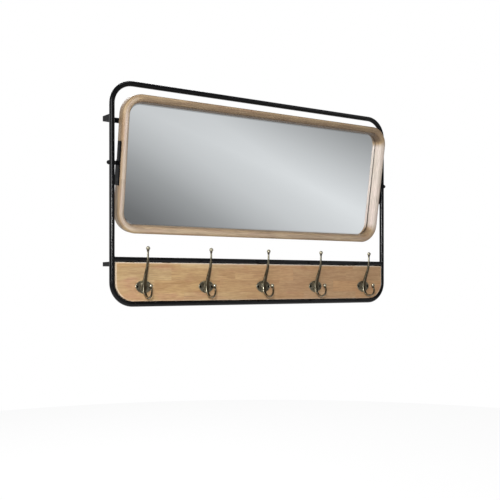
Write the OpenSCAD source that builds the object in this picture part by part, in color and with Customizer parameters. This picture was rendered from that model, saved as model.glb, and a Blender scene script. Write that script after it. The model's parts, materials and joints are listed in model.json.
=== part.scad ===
// Wall mirror with coat hooks: a bent tube frame that stands off the wall,
// a wood-framed mirror that tilts on two side pivots, and a hook board below it.
// Origin: middle of the four hanging keyholes, on the wall plane.
// +X right, +Z up, the wall is the plane Y = 0 and the front looks towards -Y.

/* [Tube frame] */
// Overall width over the tubes
frame_w = 980; // [780:5:1200]
// Overall height over the tubes
frame_h = 625; // [520:5:780]
// Outside diameter of the tube
tube_d = 15; // [13:0.5:18]
// Wall of the tube
tube_wall = 1.2; // [0.8:0.1:2]
// Corner bend radius, to the middle of the tube
corner_r = 60; // [48:1:80]
// Height of the crossbar above the bottom tube, middle to middle
crossbar_rise = 123.5; // [102:0.5:160]
// Distance from the wall to the middle of the tube
stand_off = 68; // [60:1:90]

/* [Wall hangers] */
// Thickness of the hanger strip
hanger_t = 3; // [2:0.5:4]
// Height of the upper hangers' strip
upper_hanger_h = 14.5; // [12:0.5:20]
// Height of the lower hangers' strip
lower_hanger_h = 12; // [10:0.5:20]
// Upper keyholes below the top tube, middle to middle
upper_hanger_drop = 91; // [70:1:140]
// Lower keyholes above the bottom tube, middle to middle
lower_hanger_rise = 111; // [60:1:140]
// Reach from the side tube to the keyhole, middle to middle
hanger_reach = 77.5; // [50:0.5:110]
// Drop of the upper hangers' arm from the wall to the tube, along its lower edge
arm_drop = 8; // [0:0.5:14]
// Radius of the round ear that holds the keyhole
ear_r = 14; // [12:0.5:18]
// Radius of the keyhole's entry
keyhole_r = 5; // [4.5:0.25:6]
// Width of the keyhole's neck
keyhole_neck = 5.5; // [4:0.25:6]
// Rise of the keyhole's neck above the entry
keyhole_rise = 9; // [7:0.5:11]

/* [Hook board] */
// Thickness of the board
board_t = 12; // [10:0.5:18]
// Depth of the board's front face in front of the middle of the tube
board_front = 7; // [5:0.5:9]
// Gap between the board's edge and the tubes
board_gap = 0.5; // [0.5:0.25:3]
// Chamfer along the board's edges
board_chamfer = 1.5; // [0.5:0.25:3]
// Number of tabs along each long edge of the board
tab_count = 3; // [2:1:5]
// Width of a tab
tab_w = 26; // [18:1:40]
// Reach of a tab over the board, from the middle of the tube
tab_reach = 26; // [22:1:40]
// Thickness of a tab
tab_t = 2; // [1.5:0.25:3]

/* [Hooks] */
// Distance from the side tube to the outer hook, middle to middle
hook_end = 89.5; // [70:0.5:150]
// Height of a hook's plate above the bottom tube, middle to middle
hook_rise = 48; // [46:0.5:60]
// Width of a hook's plate
plate_w = 50; // [44:1:60]
// Height of the plate above its middle
plate_up = 18; // [14:0.5:24]
// Depth of the plate below its middle
plate_down = 20; // [17:0.5:28]
// Thickness of a hook's plate
plate_t = 3; // [2.5:0.25:4]
// Distance from the plate's side to the middle of its screw
plate_screw_inset = 6.5; // [6:0.5:8]
// Radius of the balls on the hook's ends
ball_r = 5.8; // [5:0.1:8]
// Height of the upper ball above the plate's middle
upper_ball_rise = 106; // [90:1:115]
// Reach of the upper ball in front of the board
upper_ball_reach = 32.5; // [28:0.5:40]
// Height of the lower ball above the plate's middle
lower_ball_rise = 3; // [0:0.5:10]
// Reach of the lower ball in front of the board
lower_ball_reach = 52; // [46:0.5:60]

/* [Mirror] */
// Gap between the mirror's sides and the side tubes
side_gap = 10; // [9:0.5:16]
// Gap between the mirror and the top tube, with the mirror upright
top_gap = 24.5; // [8:0.5:40]
// Gap between the mirror and the crossbar, with the mirror upright
bottom_gap = 65.5; // [50:0.5:90]
// Tilt of the mirror at rest, top towards the room
tilt = 9.3; // [0:0.1:12]
// Width of the wooden rails at their front
rail_w = 21; // [18:0.5:30]
// How far the rails' inner sides slope inwards, down to the glass
rail_slope = 3; // [0.5:0.25:5]
// Depth of the wooden rails
rail_d = 32; // [31.5:0.5:40]
// Depth of the wood in front of the pivots
rail_front = 19.5; // [15:0.5:22]
// Outer radius of the mirror's corners
mirror_corner_r = 58; // [45:1:80]
// Rounding of the wood's front edges
rail_round = 7; // [2:0.5:9]
// Depth of the glass behind the wood's front
glass_recess = 25; // [20:0.25:25.75]
// Thickness of the glass
glass_t = 3; // [2:0.5:3.5]
// Width of the rebate that holds the glass
rebate_w = 8; // [6:0.5:9]
// Gap around the glass in its rebate
glass_gap = 1; // [0.5:0.25:2]
// Thickness of the backing board
backing_t = 3; // [2:0.5:3.5]

/* [Pivots] */
// Diameter of the pivot bolts
pivot_d = 8; // [6:0.5:8]
// Running clearance around the pivot bolts, on the radius
pivot_clearance = 0.05; // [0.03:0.01:0.1]
// Wall of the plastic bushes
bush_wall = 1; // [0.8:0.1:1.5]
// Thickness of the bush's flange over the tube
bush_flange_t = 0.8; // [0.5:0.1:1.2]
// Diameter of the bolt's domed head
dome_d = 12; // [11.5:0.5:18]
// Height of the bolt's domed head
dome_h = 6.5; // [4:0.5:8]
// Diameter of the boss on the side plates
boss_d = 11; // [10.5:0.5:16]
// Height of the side plates
side_plate_h = 120; // [90:1:160]
// Width of the side plates above the pivots
side_plate_w = 21; // [16:0.5:24]
// How far the side plates reach further back below the pivots
side_plate_heel = 8; // [6:0.5:12]
// Thickness of the side plates
side_plate_t = 3; // [2:0.5:4]

/* [Hidden] */
$fn = 64;
cut = 1;               // how far a cutting shape runs past the face it opens
seat = 0.05;           // gap at a welded or bedded joint
turn_gap = 0.2;        // gap between flat faces that turn on each other
tube_r = tube_d / 2;
bore_r = tube_r - tube_wall;
leg_x = frame_w / 2 - tube_r;                     // middle of the side tubes
tube_rise = frame_h - tube_d;                     // bottom tube to top tube, middle to middle
z_low = -(tube_rise + lower_hanger_rise - upper_hanger_drop) / 2;
z_top = z_low + tube_rise;
z_cross = z_low + crossbar_rise;
z_upper_hanger = z_top - upper_hanger_drop;
z_lower_hanger = z_low + lower_hanger_rise;
keyhole_x = leg_x - hanger_reach;

// Board, in front view
board_half_w = leg_x - tube_r - board_gap;
board_bottom = z_low + tube_r + board_gap;
board_top = z_cross - tube_r - board_gap;
board_corner_r = corner_r - tube_r - board_gap;
board_face_y = -stand_off - board_front;
board_back_y = board_face_y + board_t;
tab_pitch = 2 * board_half_w / tab_count;
tab_screw_inset = 7;                               // tab's screw from the tab's end
tab_hole = tab_reach - tab_screw_inset;            // tab's screw from the middle of the tube
tab_root = 2;                                      // where a tab starts, from the middle of the tube
tab_lip = board_back_y + stand_off;                // how far a tab's root comes forward to the tube

// Screws
screw_r = 1.75;
screw_gap = 0.05;
hole_gap = 0.2;                                    // clearance around a screw in a metal plate
sink = 0.1;                                        // depth of a flat head below the plate's face
screw_tip_l = 2;
screw_tip_r = 0.4;
slot_w = 1;
slot_d = 0.9;
pan_r = 3.4;
pan_h = 2;
pan_dome_r = 4.6;
flat_head_r = 3.6;
flat_head_h = 1.9;
pilot_past = 0.5;                                  // pilot hole past the screw's point
hook_screw_l = 12;
tab_screw_l = 11;
clip_screw_l = 11;
plate_screw_l = 15;

// Mirror, in its own frame: x right, y up, z towards the room, pivots on the x axis
mirror_w = 2 * (leg_x - tube_r - side_gap);
mirror_h = tube_rise - crossbar_rise - tube_d - top_gap - bottom_gap;
z_pivot = z_cross + tube_r + bottom_gap + mirror_h / 2;
half_w = mirror_w / 2;
half_h = mirror_h / 2;
rail_back = rail_front - rail_d;
glass_front = rail_front - glass_recess;
glass_back = glass_front - glass_t;
backing_back = glass_back - backing_t;
glass_inset = rail_w - rebate_w + glass_gap;

// Offset clips that hold the backing
clip_t = 1.2;
clip_w = 12;
clip_foot = 7;                                     // reach over the backing
clip_inset = 2;                                    // from the rail's outer side
clip_seat = rail_w - rebate_w - clip_inset;        // length on the rail
clip_hole = 6;                                     // screw from the rail's outer side
clip_x = [-mirror_w / 3, 0, mirror_w / 3];
clip_y = [-mirror_h / 5, mirror_h / 5];

// Pivots
pivot_r = pivot_d / 2;
bush_r = pivot_r + pivot_clearance + bush_wall;
bush_flange_r = dome_d / 2;
bush_sleeve_l = 6;
boss_face = leg_x - tube_r - bush_flange_t - turn_gap - seat;
dome_seat = leg_x + tube_r + bush_flange_t + turn_gap + seat;
bolt_reach = 10;                                   // bolt past the side plate, into the wood
bolt_end = half_w - bolt_reach;
pocket_gap = 1;                                    // around the bolt and past its end
side_plate_front = rail_front - 2;                  // front edge of the plate, from the pivot
side_plate_mid = side_plate_front - side_plate_w / 2;
heel_top = boss_d / 2 + 1.5;                       // top of the heel above the pivot
side_plate_screw_inset = 15;
side_plate_screw_y = side_plate_h / 2 - side_plate_screw_inset;

hook_count = 5;
hook_pitch = 2 * (leg_x - hook_end) / (hook_count - 1);
hook_screw_x = plate_w / 2 - plate_screw_inset;
// Hook: the bar's middle line in side view, [reach in front of the board, height], from
// the upper ball round to the lower ball, with the bar's half width and half depth there
hook_bar = [
    [upper_ball_reach,        upper_ball_rise,        2.5, 2.4],
    [upper_ball_reach - 0.5,  upper_ball_rise - 12,   2.5, 2.4],
    [upper_ball_reach - 1.5,  upper_ball_rise - 30,   2.9, 2.6],
    [upper_ball_reach - 7,    upper_ball_rise * 0.5,  4.0, 3.0],
    [14.5,                    29,                     5.2, 3.6],
    [7,                       6,                      6.0, 4.0],
    [7,                       -9,                     5.6, 4.0],
    [10.5,                    -19,                    5.0, 3.6],
    [20,                      -27.5,                  4.0, 3.1],
    [32.5,                    -30,                    3.1, 2.8],
    [lower_ball_reach - 7,    -28.5,                  2.8, 2.6],
    [lower_ball_reach + 2,    -23.5,                  2.5, 2.4],
    [lower_ball_reach + 6,    -15,                    2.3, 2.3],
    [lower_ball_reach + 4.5,  lower_ball_rise - 9,    2.2, 2.2],
    [lower_ball_reach,        lower_ball_rise,        2.2, 2.2]
];
bar_steps = 3;                                     // rings between two points of the line
bar_sides = 12;
plate_sides = 48;

// ---- placing ----

// Turns a piece drawn face up, y up and z towards the room, to stand against the wall
module upright() {
    rotate([90, 0, 0]) children();
}

// Places a piece of the mirror, tilted about its pivots
module at_mirror() {
    translate([0, -stand_off, z_pivot]) rotate([tilt, 0, 0]) upright() children();
}

module both_sides() {
    children();
    mirror([1, 0, 0]) children();
}

// ---- shapes that repeat ----

// Upright bar round the middle of a side tube, used to cope what is welded to it
module leg_bar(side, r) {
    translate([side * leg_x, -stand_off, z_low]) cylinder(r = r, h = tube_rise);
}

// Bar along X at a height of the tube plane
module level_bar(z, half_l, r) {
    translate([-half_l, -stand_off, z]) rotate([0, 90, 0]) cylinder(r = r, h = 2 * half_l);
}

// Two legs joined by a level run over two bends; up = 1 bends at the top, -1 at the bottom
module bent_bar(r, z_run, leg_l, up, past) {
    bend_x = leg_x - corner_r;
    level_bar(z_run, bend_x, r);
    for (side = [-1, 1])
        translate([side * bend_x, -stand_off, z_run - up * corner_r]) {
            rotate([90, up > 0 ? 0 : 180, 0]) rotate([0, 0, side * up > 0 ? 0 : 90])
                rotate_extrude(angle = 90) translate([corner_r, 0]) circle(r = r);
            translate([side * corner_r, 0, up > 0 ? -(leg_l + past) : 0])
                cylinder(r = r, h = leg_l + past);
        }
}

// Cross bore through a side tube for the pivot's bushes
module pivot_bore(r) {
    translate([-leg_x - tube_r - cut, -stand_off, z_pivot]) rotate([0, 90, 0])
        cylinder(r = r, h = 2 * (leg_x + tube_r + cut));
}

// Screw with a slotted flat head, its head's face at z = 0 and its point downwards
module flat_screw(length) {
    difference() {
        union() {
            translate([0, 0, -flat_head_h]) cylinder(r1 = screw_r, r2 = flat_head_r, h = flat_head_h);
            screw_shank(length, flat_head_h);
        }
        screw_slot(flat_head_r, 0);
    }
}

// Shank and point of a screw of this length, from below its head
module screw_shank(length, head_h) {
    translate([0, 0, screw_tip_l - length]) cylinder(r = screw_r, h = length - screw_tip_l - head_h);
    translate([0, 0, -length]) cylinder(r1 = screw_tip_r, r2 = screw_r, h = screw_tip_l);
}

// Slot across a head of radius r whose top is at z
module screw_slot(r, z) {
    translate([-r - cut, -slot_w / 2, z - slot_d]) cube([2 * (r + cut), slot_w, slot_d + cut]);
}

// Countersunk hole through a plate this thick, whose face is at z = 0
module screw_seat(plate) {
    translate([0, 0, -plate - cut]) cylinder(r = screw_r + hole_gap, h = plate + 2 * cut);
    translate([0, 0, -flat_head_h - sink]) cylinder(r1 = screw_r, r2 = flat_head_r, h = flat_head_h);
    translate([0, 0, -sink]) cylinder(r = flat_head_r, h = cut);
}

// Screw with a slotted pan head, the head's underside at z = 0 and its point downwards
module pan_screw(length) {
    difference() {
        union() {
            intersection() {
                cylinder(r = pan_r, h = pan_h);
                translate([0, 0, pan_h - pan_dome_r]) sphere(r = pan_dome_r);
            }
            screw_shank(length, 0);
        }
        screw_slot(pan_r, pan_h);
    }
}

// Pilot hole for a screw of this length, open at z = 0
module pilot(length) {
    translate([0, 0, -length - pilot_past])
        cylinder(r = screw_r + screw_gap, h = length + pilot_past + cut);
}

module rounded_rectangle(half_x, half_y, r) {
    union() {
        translate([-half_x, r - half_y]) square([2 * half_x, 2 * (half_y - r)]);
        translate([r - half_x, -half_y]) square([2 * (half_x - r), 2 * half_y]);
        for (sx = [-1, 1], sy = [-1, 1])
            translate([sx * (half_x - r), sy * (half_y - r)]) circle(r = r);
    }
}

// ---- tube frame ----

module upper_tube() {
    color("#1c1c1e") difference() {
        bent_bar(tube_r, z_top, z_top - corner_r - z_cross, 1, 0);
        bent_bar(bore_r, z_top, z_top - corner_r - z_cross, 1, cut);
        pivot_bore(bush_r + seat);
    }
}

module lower_tube() {
    color("#1c1c1e") difference() {
        bent_bar(tube_r, z_low, crossbar_rise - corner_r - seat, -1, 0);
        bent_bar(bore_r, z_low, crossbar_rise - corner_r - seat, -1, cut);
    }
}

module crossbar() {
    color("#1c1c1e") difference() {
        level_bar(z_cross, leg_x, tube_r);
        level_bar(z_cross, leg_x + cut, bore_r);
        for (side = [-1, 1]) leg_bar(side, tube_r + seat);
    }
}

// Strip bent from the tube to the wall and inwards, ending in a round ear with a keyhole
module hanger(side, z, strip_h, drop) {
    ear_lift = 3.5;                                // ear's middle above the keyhole's entry
    hold = tube_r + 2;                             // the arm is level up to here behind the tube
    color("#202022") translate([0, 0, z]) {
        difference() {
            translate([side * leg_x - hanger_t / 2, 0, 0]) rotate([90, 0, 90])
                linear_extrude(height = hanger_t) polygon([
                    [-hanger_t, strip_h / 2], [-stand_off, strip_h / 2 - drop / 2],
                    [-stand_off, -strip_h / 2 - drop], [-stand_off + hold, -strip_h / 2 - drop],
                    [-hanger_t, -strip_h / 2]
                ]);
            translate([0, 0, -z]) leg_bar(side, tube_r + seat);
            translate([0, 0, -z]) level_bar(z_cross, leg_x, tube_r + seat);
        }
        upright() linear_extrude(height = hanger_t) difference() {
            union() {
                translate([side > 0 ? keyhole_x : -leg_x - hanger_t / 2, -strip_h / 2])
                    square([hanger_reach + hanger_t / 2, strip_h]);
                translate([side * keyhole_x, ear_lift]) circle(r = ear_r);
            }
            translate([side * keyhole_x, 0]) circle(r = keyhole_r);
            translate([side * keyhole_x - keyhole_neck / 2, 0]) square([keyhole_neck, keyhole_rise]);
            translate([side * keyhole_x, keyhole_rise]) circle(r = keyhole_neck / 2);
        }
    }
}

module upper_hanger_left() { hanger(-1, z_upper_hanger, upper_hanger_h, arm_drop); }
module upper_hanger_right() { hanger(1, z_upper_hanger, upper_hanger_h, arm_drop); }
module lower_hanger_left() { hanger(-1, z_lower_hanger, lower_hanger_h, 0); }
module lower_hanger_right() { hanger(1, z_lower_hanger, lower_hanger_h, 0); }

// ---- hook board ----

// Outline of the board, drawn in from its edge; the lower corners follow the tube's bends
module board_outline(inset) {
    r = board_corner_r - inset;
    small_r = 3;
    x = board_half_w - inset;
    low = board_bottom + inset;
    high = board_top - inset;
    hull() {
        intersection() {
            for (side = [-1, 1]) translate([side * (x - r), low + r]) circle(r = r);
            translate([-x, low]) square([2 * x, r]);
        }
        for (side = [-1, 1])
            translate([side * (x - small_r), high - small_r]) circle(r = small_r);
    }
}

module at_each_hook() {
    for (i = [0 : hook_count - 1]) at_hook(i) children();
}

// Places a piece on the board's front face at hook i, in front view
module at_hook(i) {
    translate([hook_pitch * (i - (hook_count - 1) / 2), board_face_y, z_low + hook_rise])
        upright() children();
}

// Places a piece behind the board at each tab; z points away from the board's back
module at_each_tab() {
    for (i = [0 : tab_count - 1], up = [-1, 1])
        translate([tab_pitch * (i - (tab_count - 1) / 2), board_back_y, up > 0 ? z_cross : z_low])
            rotate([-90, 0, 0]) rotate([0, 0, up > 0 ? 0 : 180]) children();
}

module hook_board() {
    color("#b08a5e") difference() {
        translate([0, board_back_y, 0]) upright() hull() {
            translate([0, 0, board_chamfer])
                linear_extrude(height = board_t - 2 * board_chamfer) board_outline(0);
            linear_extrude(height = board_t) board_outline(board_chamfer);
        }
        at_each_hook() for (side = [-1, 1])
            translate([side * hook_screw_x, 0, 0]) pilot(hook_screw_l - plate_t);
        at_each_tab() translate([0, tab_hole, 0]) pilot(tab_screw_l - tab_t);
    }
}

module board_tabs() {
    color("#202022") difference() {
        at_each_tab() {
            linear_extrude(height = tab_t) difference() {
                translate([-tab_w / 2, tab_root]) square([tab_w, tab_reach - tab_root]);
                translate([0, tab_hole]) circle(r = screw_r + hole_gap);
            }
            translate([-tab_w / 2, tab_root, -tab_lip])
                cube([tab_w, tube_r - tab_root, tab_lip + tab_t]);
        }
        level_bar(z_cross, leg_x, tube_r + seat);
        level_bar(z_low, leg_x, tube_r + seat);
    }
}

module board_tab_screws() {
    color("#8a8a88") at_each_tab() translate([0, tab_hole, tab_t]) pan_screw(tab_screw_l);
}

// ---- hooks ----

function sgn_pow(v, p) = sign(v) * pow(abs(v), p);

// Egg-shaped plate: an ellipse above its middle, drawn in towards the bar below it
plate_pinch = [1.35, 1.2];
function plate_point(a) = a < 180
    ? [plate_w / 2 * cos(a), plate_up * sin(a)]
    : [plate_w / 2 * sgn_pow(cos(a), plate_pinch[0]), plate_down * sgn_pow(sin(a), plate_pinch[1])];

// Smooth curve through the rows of a list, at t between row i and the next
function row(list, i) = list[min(max(i, 0), len(list) - 1)];
function through(list, i, t) =
    let (a = row(list, i - 1), b = row(list, i), c = row(list, i + 1), d = row(list, i + 2))
    0.5 * (2 * b + (c - a) * t + (2 * a - 5 * b + 4 * c - d) * t * t
           + (3 * b - a - 3 * c + d) * t * t * t);

bar_rows = [
    for (i = [0 : len(hook_bar) - 2], k = [0 : bar_steps - 1]) through(hook_bar, i, k / bar_steps),
    hook_bar[len(hook_bar) - 1]
];
bar_n = len(bar_rows);

// Ring of the bar at row i: an oval square to the middle line, x across the hook
function bar_ring(i) =
    let (a = row(bar_rows, i - 1), b = row(bar_rows, i + 1), m = bar_rows[i],
         run = norm([b[0] - a[0], b[1] - a[1]]),
         out = [(a[1] - b[1]) / run, (b[0] - a[0]) / run])
    [for (k = [0 : bar_sides - 1])
        let (angle = 360 * k / bar_sides, x = m[2] * cos(angle), d = m[3] * sin(angle))
        [x, m[1] + d * out[1], m[0] + d * out[0]]];

module hook_bar_solid() {
    points = [for (i = [0 : bar_n - 1]) each bar_ring(i)];
    sides = [
        for (i = [0 : bar_n - 2], k = [0 : bar_sides - 1])
            let (a = i * bar_sides + k, b = i * bar_sides + (k + 1) % bar_sides)
            each [[a, b + bar_sides, b], [a, a + bar_sides, b + bar_sides]]
    ];
    ends = [
        [for (k = [0 : bar_sides - 1]) k],
        [for (k = [bar_sides - 1 : -1 : 0]) (bar_n - 1) * bar_sides + k]
    ];
    polyhedron(points = points, faces = concat(sides, ends), convexity = 8);
}

module hook(i) {
    color("#7a6a48") at_hook(i) union() {
        difference() {
            linear_extrude(height = plate_t)
                polygon([for (i = [0 : plate_sides - 1]) plate_point(360 * i / plate_sides)]);
            for (side = [-1, 1]) translate([side * hook_screw_x, 0, plate_t]) screw_seat(plate_t);
        }
        hook_bar_solid();
        translate([0, upper_ball_rise, upper_ball_reach]) sphere(r = ball_r);
        translate([0, lower_ball_rise, lower_ball_reach]) sphere(r = ball_r);
    }
}

module hook_1() { hook(0); }
module hook_2() { hook(1); }
module hook_3() { hook(2); }
module hook_4() { hook(3); }
module hook_5() { hook(4); }

module hook_screws() {
    color("#5c5238") at_each_hook() for (side = [-1, 1])
        translate([side * hook_screw_x, 0, plate_t]) flat_screw(hook_screw_l);
}

// ---- pivots ----

// Plastic top-hat bush from the outside (out = 1) or the inside (-1) of the right side tube
module bush(out) {
    flange_end = tube_r + bush_flange_t;
    difference() {
        union() {
            translate([leg_x, -stand_off, z_pivot]) rotate([0, out * 90, 0])
                translate([0, 0, flange_end - bush_sleeve_l]) cylinder(r = bush_r, h = bush_sleeve_l);
            difference() {
                translate([leg_x, -stand_off, z_pivot]) rotate([0, out * 90, 0])
                    cylinder(r = bush_flange_r, h = flange_end);
                leg_bar(1, tube_r + seat);
            }
        }
        pivot_bore(pivot_r + pivot_clearance);
    }
}

module pivot_bushes_right() {
    color("#2b2b2b") for (out = [-1, 1]) bush(out);
}

module pivot_bushes_left() {
    mirror([1, 0, 0]) pivot_bushes_right();
}

// Bolt along the pivot axis on the right side, drawn in the mirror's own frame
module pivot_bolt() {
    rim = 1.2;
    cap = dome_h - rim;
    cap_r = (dome_d * dome_d / 4 + cap * cap) / (2 * cap);
    color("#1c1c1e") translate([bolt_end, 0, 0]) rotate([0, 90, 0]) {
        cylinder(r = pivot_r, h = dome_seat - bolt_end);
        translate([0, 0, dome_seat - bolt_end]) intersection() {
            cylinder(r = dome_d / 2, h = dome_h);
            translate([0, 0, dome_h - cap_r]) sphere(r = cap_r);
        }
    }
}

module pivot_bolt_right() {
    at_mirror() pivot_bolt();
}

module pivot_bolt_left() {
    at_mirror() mirror([1, 0, 0]) pivot_bolt();
}

// Outline of a side plate: x back from its front edge, y up, with the pivot at y = 0
module side_plate_outline() {
    polygon([
        [0, -side_plate_h / 2], [side_plate_w + side_plate_heel, -side_plate_h / 2],
        [side_plate_w + side_plate_heel, heel_top - side_plate_heel / 2],
        [side_plate_w, heel_top + side_plate_heel / 2],
        [side_plate_w, side_plate_h / 2], [0, side_plate_h / 2]
    ]);
}

// Flat plate on the mirror's right side with the boss that the bolt screws into
module side_plate() {
    color("#202022") difference() {
        union() {
            translate([half_w + seat, 0, side_plate_front]) rotate([0, 90, 0])
                linear_extrude(height = side_plate_t) side_plate_outline();
            translate([half_w + seat, 0, 0]) rotate([0, 90, 0])
                cylinder(r = boss_d / 2, h = boss_face - half_w - seat);
        }
        translate([half_w - cut, 0, 0]) rotate([0, 90, 0])
            cylinder(r = pivot_r + screw_gap, h = side_gap + 2 * cut);
        for (up = [-1, 1])
            translate([half_w + side_plate_t + seat, up * side_plate_screw_y, side_plate_mid])
                rotate([0, 90, 0]) screw_seat(side_plate_t);
    }
}

module side_plate_right() {
    at_mirror() side_plate();
}

module side_plate_left() {
    at_mirror() mirror([1, 0, 0]) side_plate();
}

module side_plate_screws() {
    color("#202022") at_mirror() both_sides() for (up = [-1, 1])
        translate([half_w + side_plate_t + seat, up * side_plate_screw_y, side_plate_mid])
            rotate([0, 90, 0]) flat_screw(plate_screw_l);
}

// ---- mirror ----

// Section of the wood: x from the outer side inwards, y towards the room
module rail_section() {
    difference() {
        union() {
            translate([0, rail_back]) square([rail_w, rail_d - rail_round]);
            translate([rail_round, rail_front - rail_round])
                square([rail_w - 2 * rail_round, rail_round]);
            for (x = [rail_round, rail_w - rail_round])
                translate([x, rail_front - rail_round]) circle(r = rail_round);
            polygon([
                [rail_w, rail_front - rail_round], [rail_w + rail_slope, glass_front],
                [rail_w - rebate_w, glass_front]
            ]);
        }
        translate([rail_w - rebate_w, rail_back - cut])
            square([rebate_w + rail_slope + cut, glass_front - rail_back + cut]);
    }
}

// Rail along the top edge, y = 0, of a frame this wide; mitred through the corner bends
module rail(outer_half) {
    straight = outer_half - mirror_corner_r;
    intersection() {
        union() {
            translate([-straight, 0, 0]) rotate([90, 0, 90])
                linear_extrude(height = 2 * straight) mirror([1, 0, 0]) rail_section();
            both_sides() translate([straight, -mirror_corner_r, 0]) rotate_extrude(angle = 90)
                translate([mirror_corner_r, 0]) mirror([1, 0, 0]) rail_section();
        }
        translate([0, 0, rail_back - cut]) linear_extrude(height = rail_d + 2 * cut) polygon([
            [-outer_half - cut, cut], [-straight, -mirror_corner_r],
            [straight, -mirror_corner_r], [outer_half + cut, cut]
        ]);
    }
}

module at_each_clip() {
    for (up = [-1, 1], x = clip_x) translate([x, up * half_h, 0])
        rotate([0, 0, up > 0 ? 0 : 180]) children();
    for (side = [-1, 1], y = clip_y) translate([side * half_w, y, 0])
        rotate([0, 0, side > 0 ? -90 : 90]) children();
}

module clip_pilots() {
    at_each_clip() translate([0, -clip_hole, rail_back]) rotate([180, 0, 0])
        pilot(clip_screw_l - clip_t);
}

module side_plate_pilots() {
    both_sides() for (up = [-1, 1]) translate([half_w, up * side_plate_screw_y, side_plate_mid])
        rotate([0, 90, 0]) pilot(plate_screw_l - side_plate_t);
    both_sides() translate([bolt_end - pocket_gap, 0, 0]) rotate([0, 90, 0])
        cylinder(r = pivot_r + pocket_gap, h = bolt_reach + pocket_gap + cut);
}

module top_rail() {
    color("#a9835a") at_mirror() difference() {
        translate([0, half_h, 0]) rail(half_w);
        clip_pilots();
    }
}

module bottom_rail() {
    color("#a9835a") at_mirror() difference() {
        rotate([0, 0, 180]) translate([0, half_h, 0]) rail(half_w);
        clip_pilots();
    }
}

module left_stile() {
    color("#b9966c") at_mirror() difference() {
        rotate([0, 0, 90]) translate([0, half_w, 0]) rail(half_h);
        clip_pilots();
        side_plate_pilots();
    }
}

module right_stile() {
    color("#b9966c") at_mirror() difference() {
        rotate([0, 0, -90]) translate([0, half_w, 0]) rail(half_h);
        clip_pilots();
        side_plate_pilots();
    }
}

module mirror_glass() {
    color("#c8d0d4") at_mirror() translate([0, 0, glass_back]) linear_extrude(height = glass_t)
        rounded_rectangle(half_w - glass_inset, half_h - glass_inset, mirror_corner_r - glass_inset);
}

module backing_board() {
    color("#6e5138") at_mirror() translate([0, 0, backing_back]) linear_extrude(height = backing_t)
        rounded_rectangle(half_w - glass_inset, half_h - glass_inset, mirror_corner_r - glass_inset);
}

// Clip drawn for the top rail: y = 0 is the wood's outer side, the foot presses the backing
module backing_clip() {
    step = clip_inset + clip_seat;
    translate([-clip_w / 2, 0, 0]) rotate([90, 0, 90]) linear_extrude(height = clip_w) polygon([
        [-clip_inset, rail_back], [-clip_inset, rail_back - clip_t],
        [-step - clip_t, rail_back - clip_t], [-step - clip_t, backing_back - clip_t],
        [-step - clip_foot, backing_back - clip_t], [-step - clip_foot, backing_back],
        [-step, backing_back], [-step, rail_back]
    ]);
}

module backing_clips() {
    color("#9a9a98") at_mirror() at_each_clip() difference() {
        backing_clip();
        translate([0, -clip_hole, rail_back - clip_t - cut])
            cylinder(r = screw_r + hole_gap, h = clip_t + 2 * cut);
    }
}

module backing_clip_screws() {
    color("#8a8a88") at_mirror() at_each_clip()
        translate([0, -clip_hole, rail_back - clip_t]) rotate([180, 0, 0]) pan_screw(clip_screw_l);
}

upper_tube();
lower_tube();
crossbar();
upper_hanger_left();
upper_hanger_right();
lower_hanger_left();
lower_hanger_right();
hook_board();
board_tabs();
board_tab_screws();
hook_1();
hook_2();
hook_3();
hook_4();
hook_5();
hook_screws();
pivot_bushes_left();
pivot_bushes_right();
top_rail();
bottom_rail();
left_stile();
right_stile();
mirror_glass();
backing_board();
backing_clips();
backing_clip_screws();
side_plate_left();
side_plate_right();
side_plate_screws();
pivot_bolt_left();
pivot_bolt_right();
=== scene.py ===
import json
import math
import bpy
import bmesh
import numpy as np
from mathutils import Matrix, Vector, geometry


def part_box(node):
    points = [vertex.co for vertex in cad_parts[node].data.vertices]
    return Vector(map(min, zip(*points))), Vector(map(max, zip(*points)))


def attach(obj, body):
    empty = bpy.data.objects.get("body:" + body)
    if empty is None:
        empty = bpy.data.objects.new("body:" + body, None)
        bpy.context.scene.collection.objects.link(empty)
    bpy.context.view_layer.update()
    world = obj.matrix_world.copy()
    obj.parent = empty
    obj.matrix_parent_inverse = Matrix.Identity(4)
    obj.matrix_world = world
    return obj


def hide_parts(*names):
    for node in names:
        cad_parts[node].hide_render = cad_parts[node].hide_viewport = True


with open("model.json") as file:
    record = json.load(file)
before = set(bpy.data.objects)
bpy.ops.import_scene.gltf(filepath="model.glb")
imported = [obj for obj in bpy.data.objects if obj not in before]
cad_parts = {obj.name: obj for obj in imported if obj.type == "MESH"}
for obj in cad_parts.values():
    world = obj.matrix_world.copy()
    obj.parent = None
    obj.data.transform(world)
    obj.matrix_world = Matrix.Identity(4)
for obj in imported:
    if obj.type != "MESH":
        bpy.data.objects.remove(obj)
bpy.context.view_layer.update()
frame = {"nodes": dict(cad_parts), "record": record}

scene = bpy.context.scene


def meshObject(name, points, faces, sharpAngle=38):
    mesh = bpy.data.meshes.new(name)
    mesh.from_pydata([tuple(map(float, p)) for p in points], [], faces)
    mesh.validate()
    mesh.polygons.foreach_set("use_smooth", [True] * len(mesh.polygons))
    mesh.set_sharp_from_angle(angle=math.radians(sharpAngle))
    piece = bpy.data.objects.new(name, mesh)
    scene.collection.objects.link(piece)
    return piece


def ringShell(rings, capEnds=True):
    # closed sections, one after the other, as points and faces
    count = len(rings[0])
    points = [p for ring in rings for p in ring]
    faces = []
    for i in range(len(rings) - 1):
        for k in range(count):
            a, b = i * count + k, i * count + (k + 1) % count
            faces.append((a, b, b + count, a + count))
    if capEnds:
        faces.append(tuple(range(count - 1, -1, -1)))
        faces.append(tuple(range((len(rings) - 1) * count, len(rings) * count)))
    return points, faces


def faceOutwards(piece):
    work = bmesh.new()
    work.from_mesh(piece.data)
    bmesh.ops.recalc_face_normals(work, faces=work.faces)
    work.to_mesh(piece.data)
    work.free()


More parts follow.
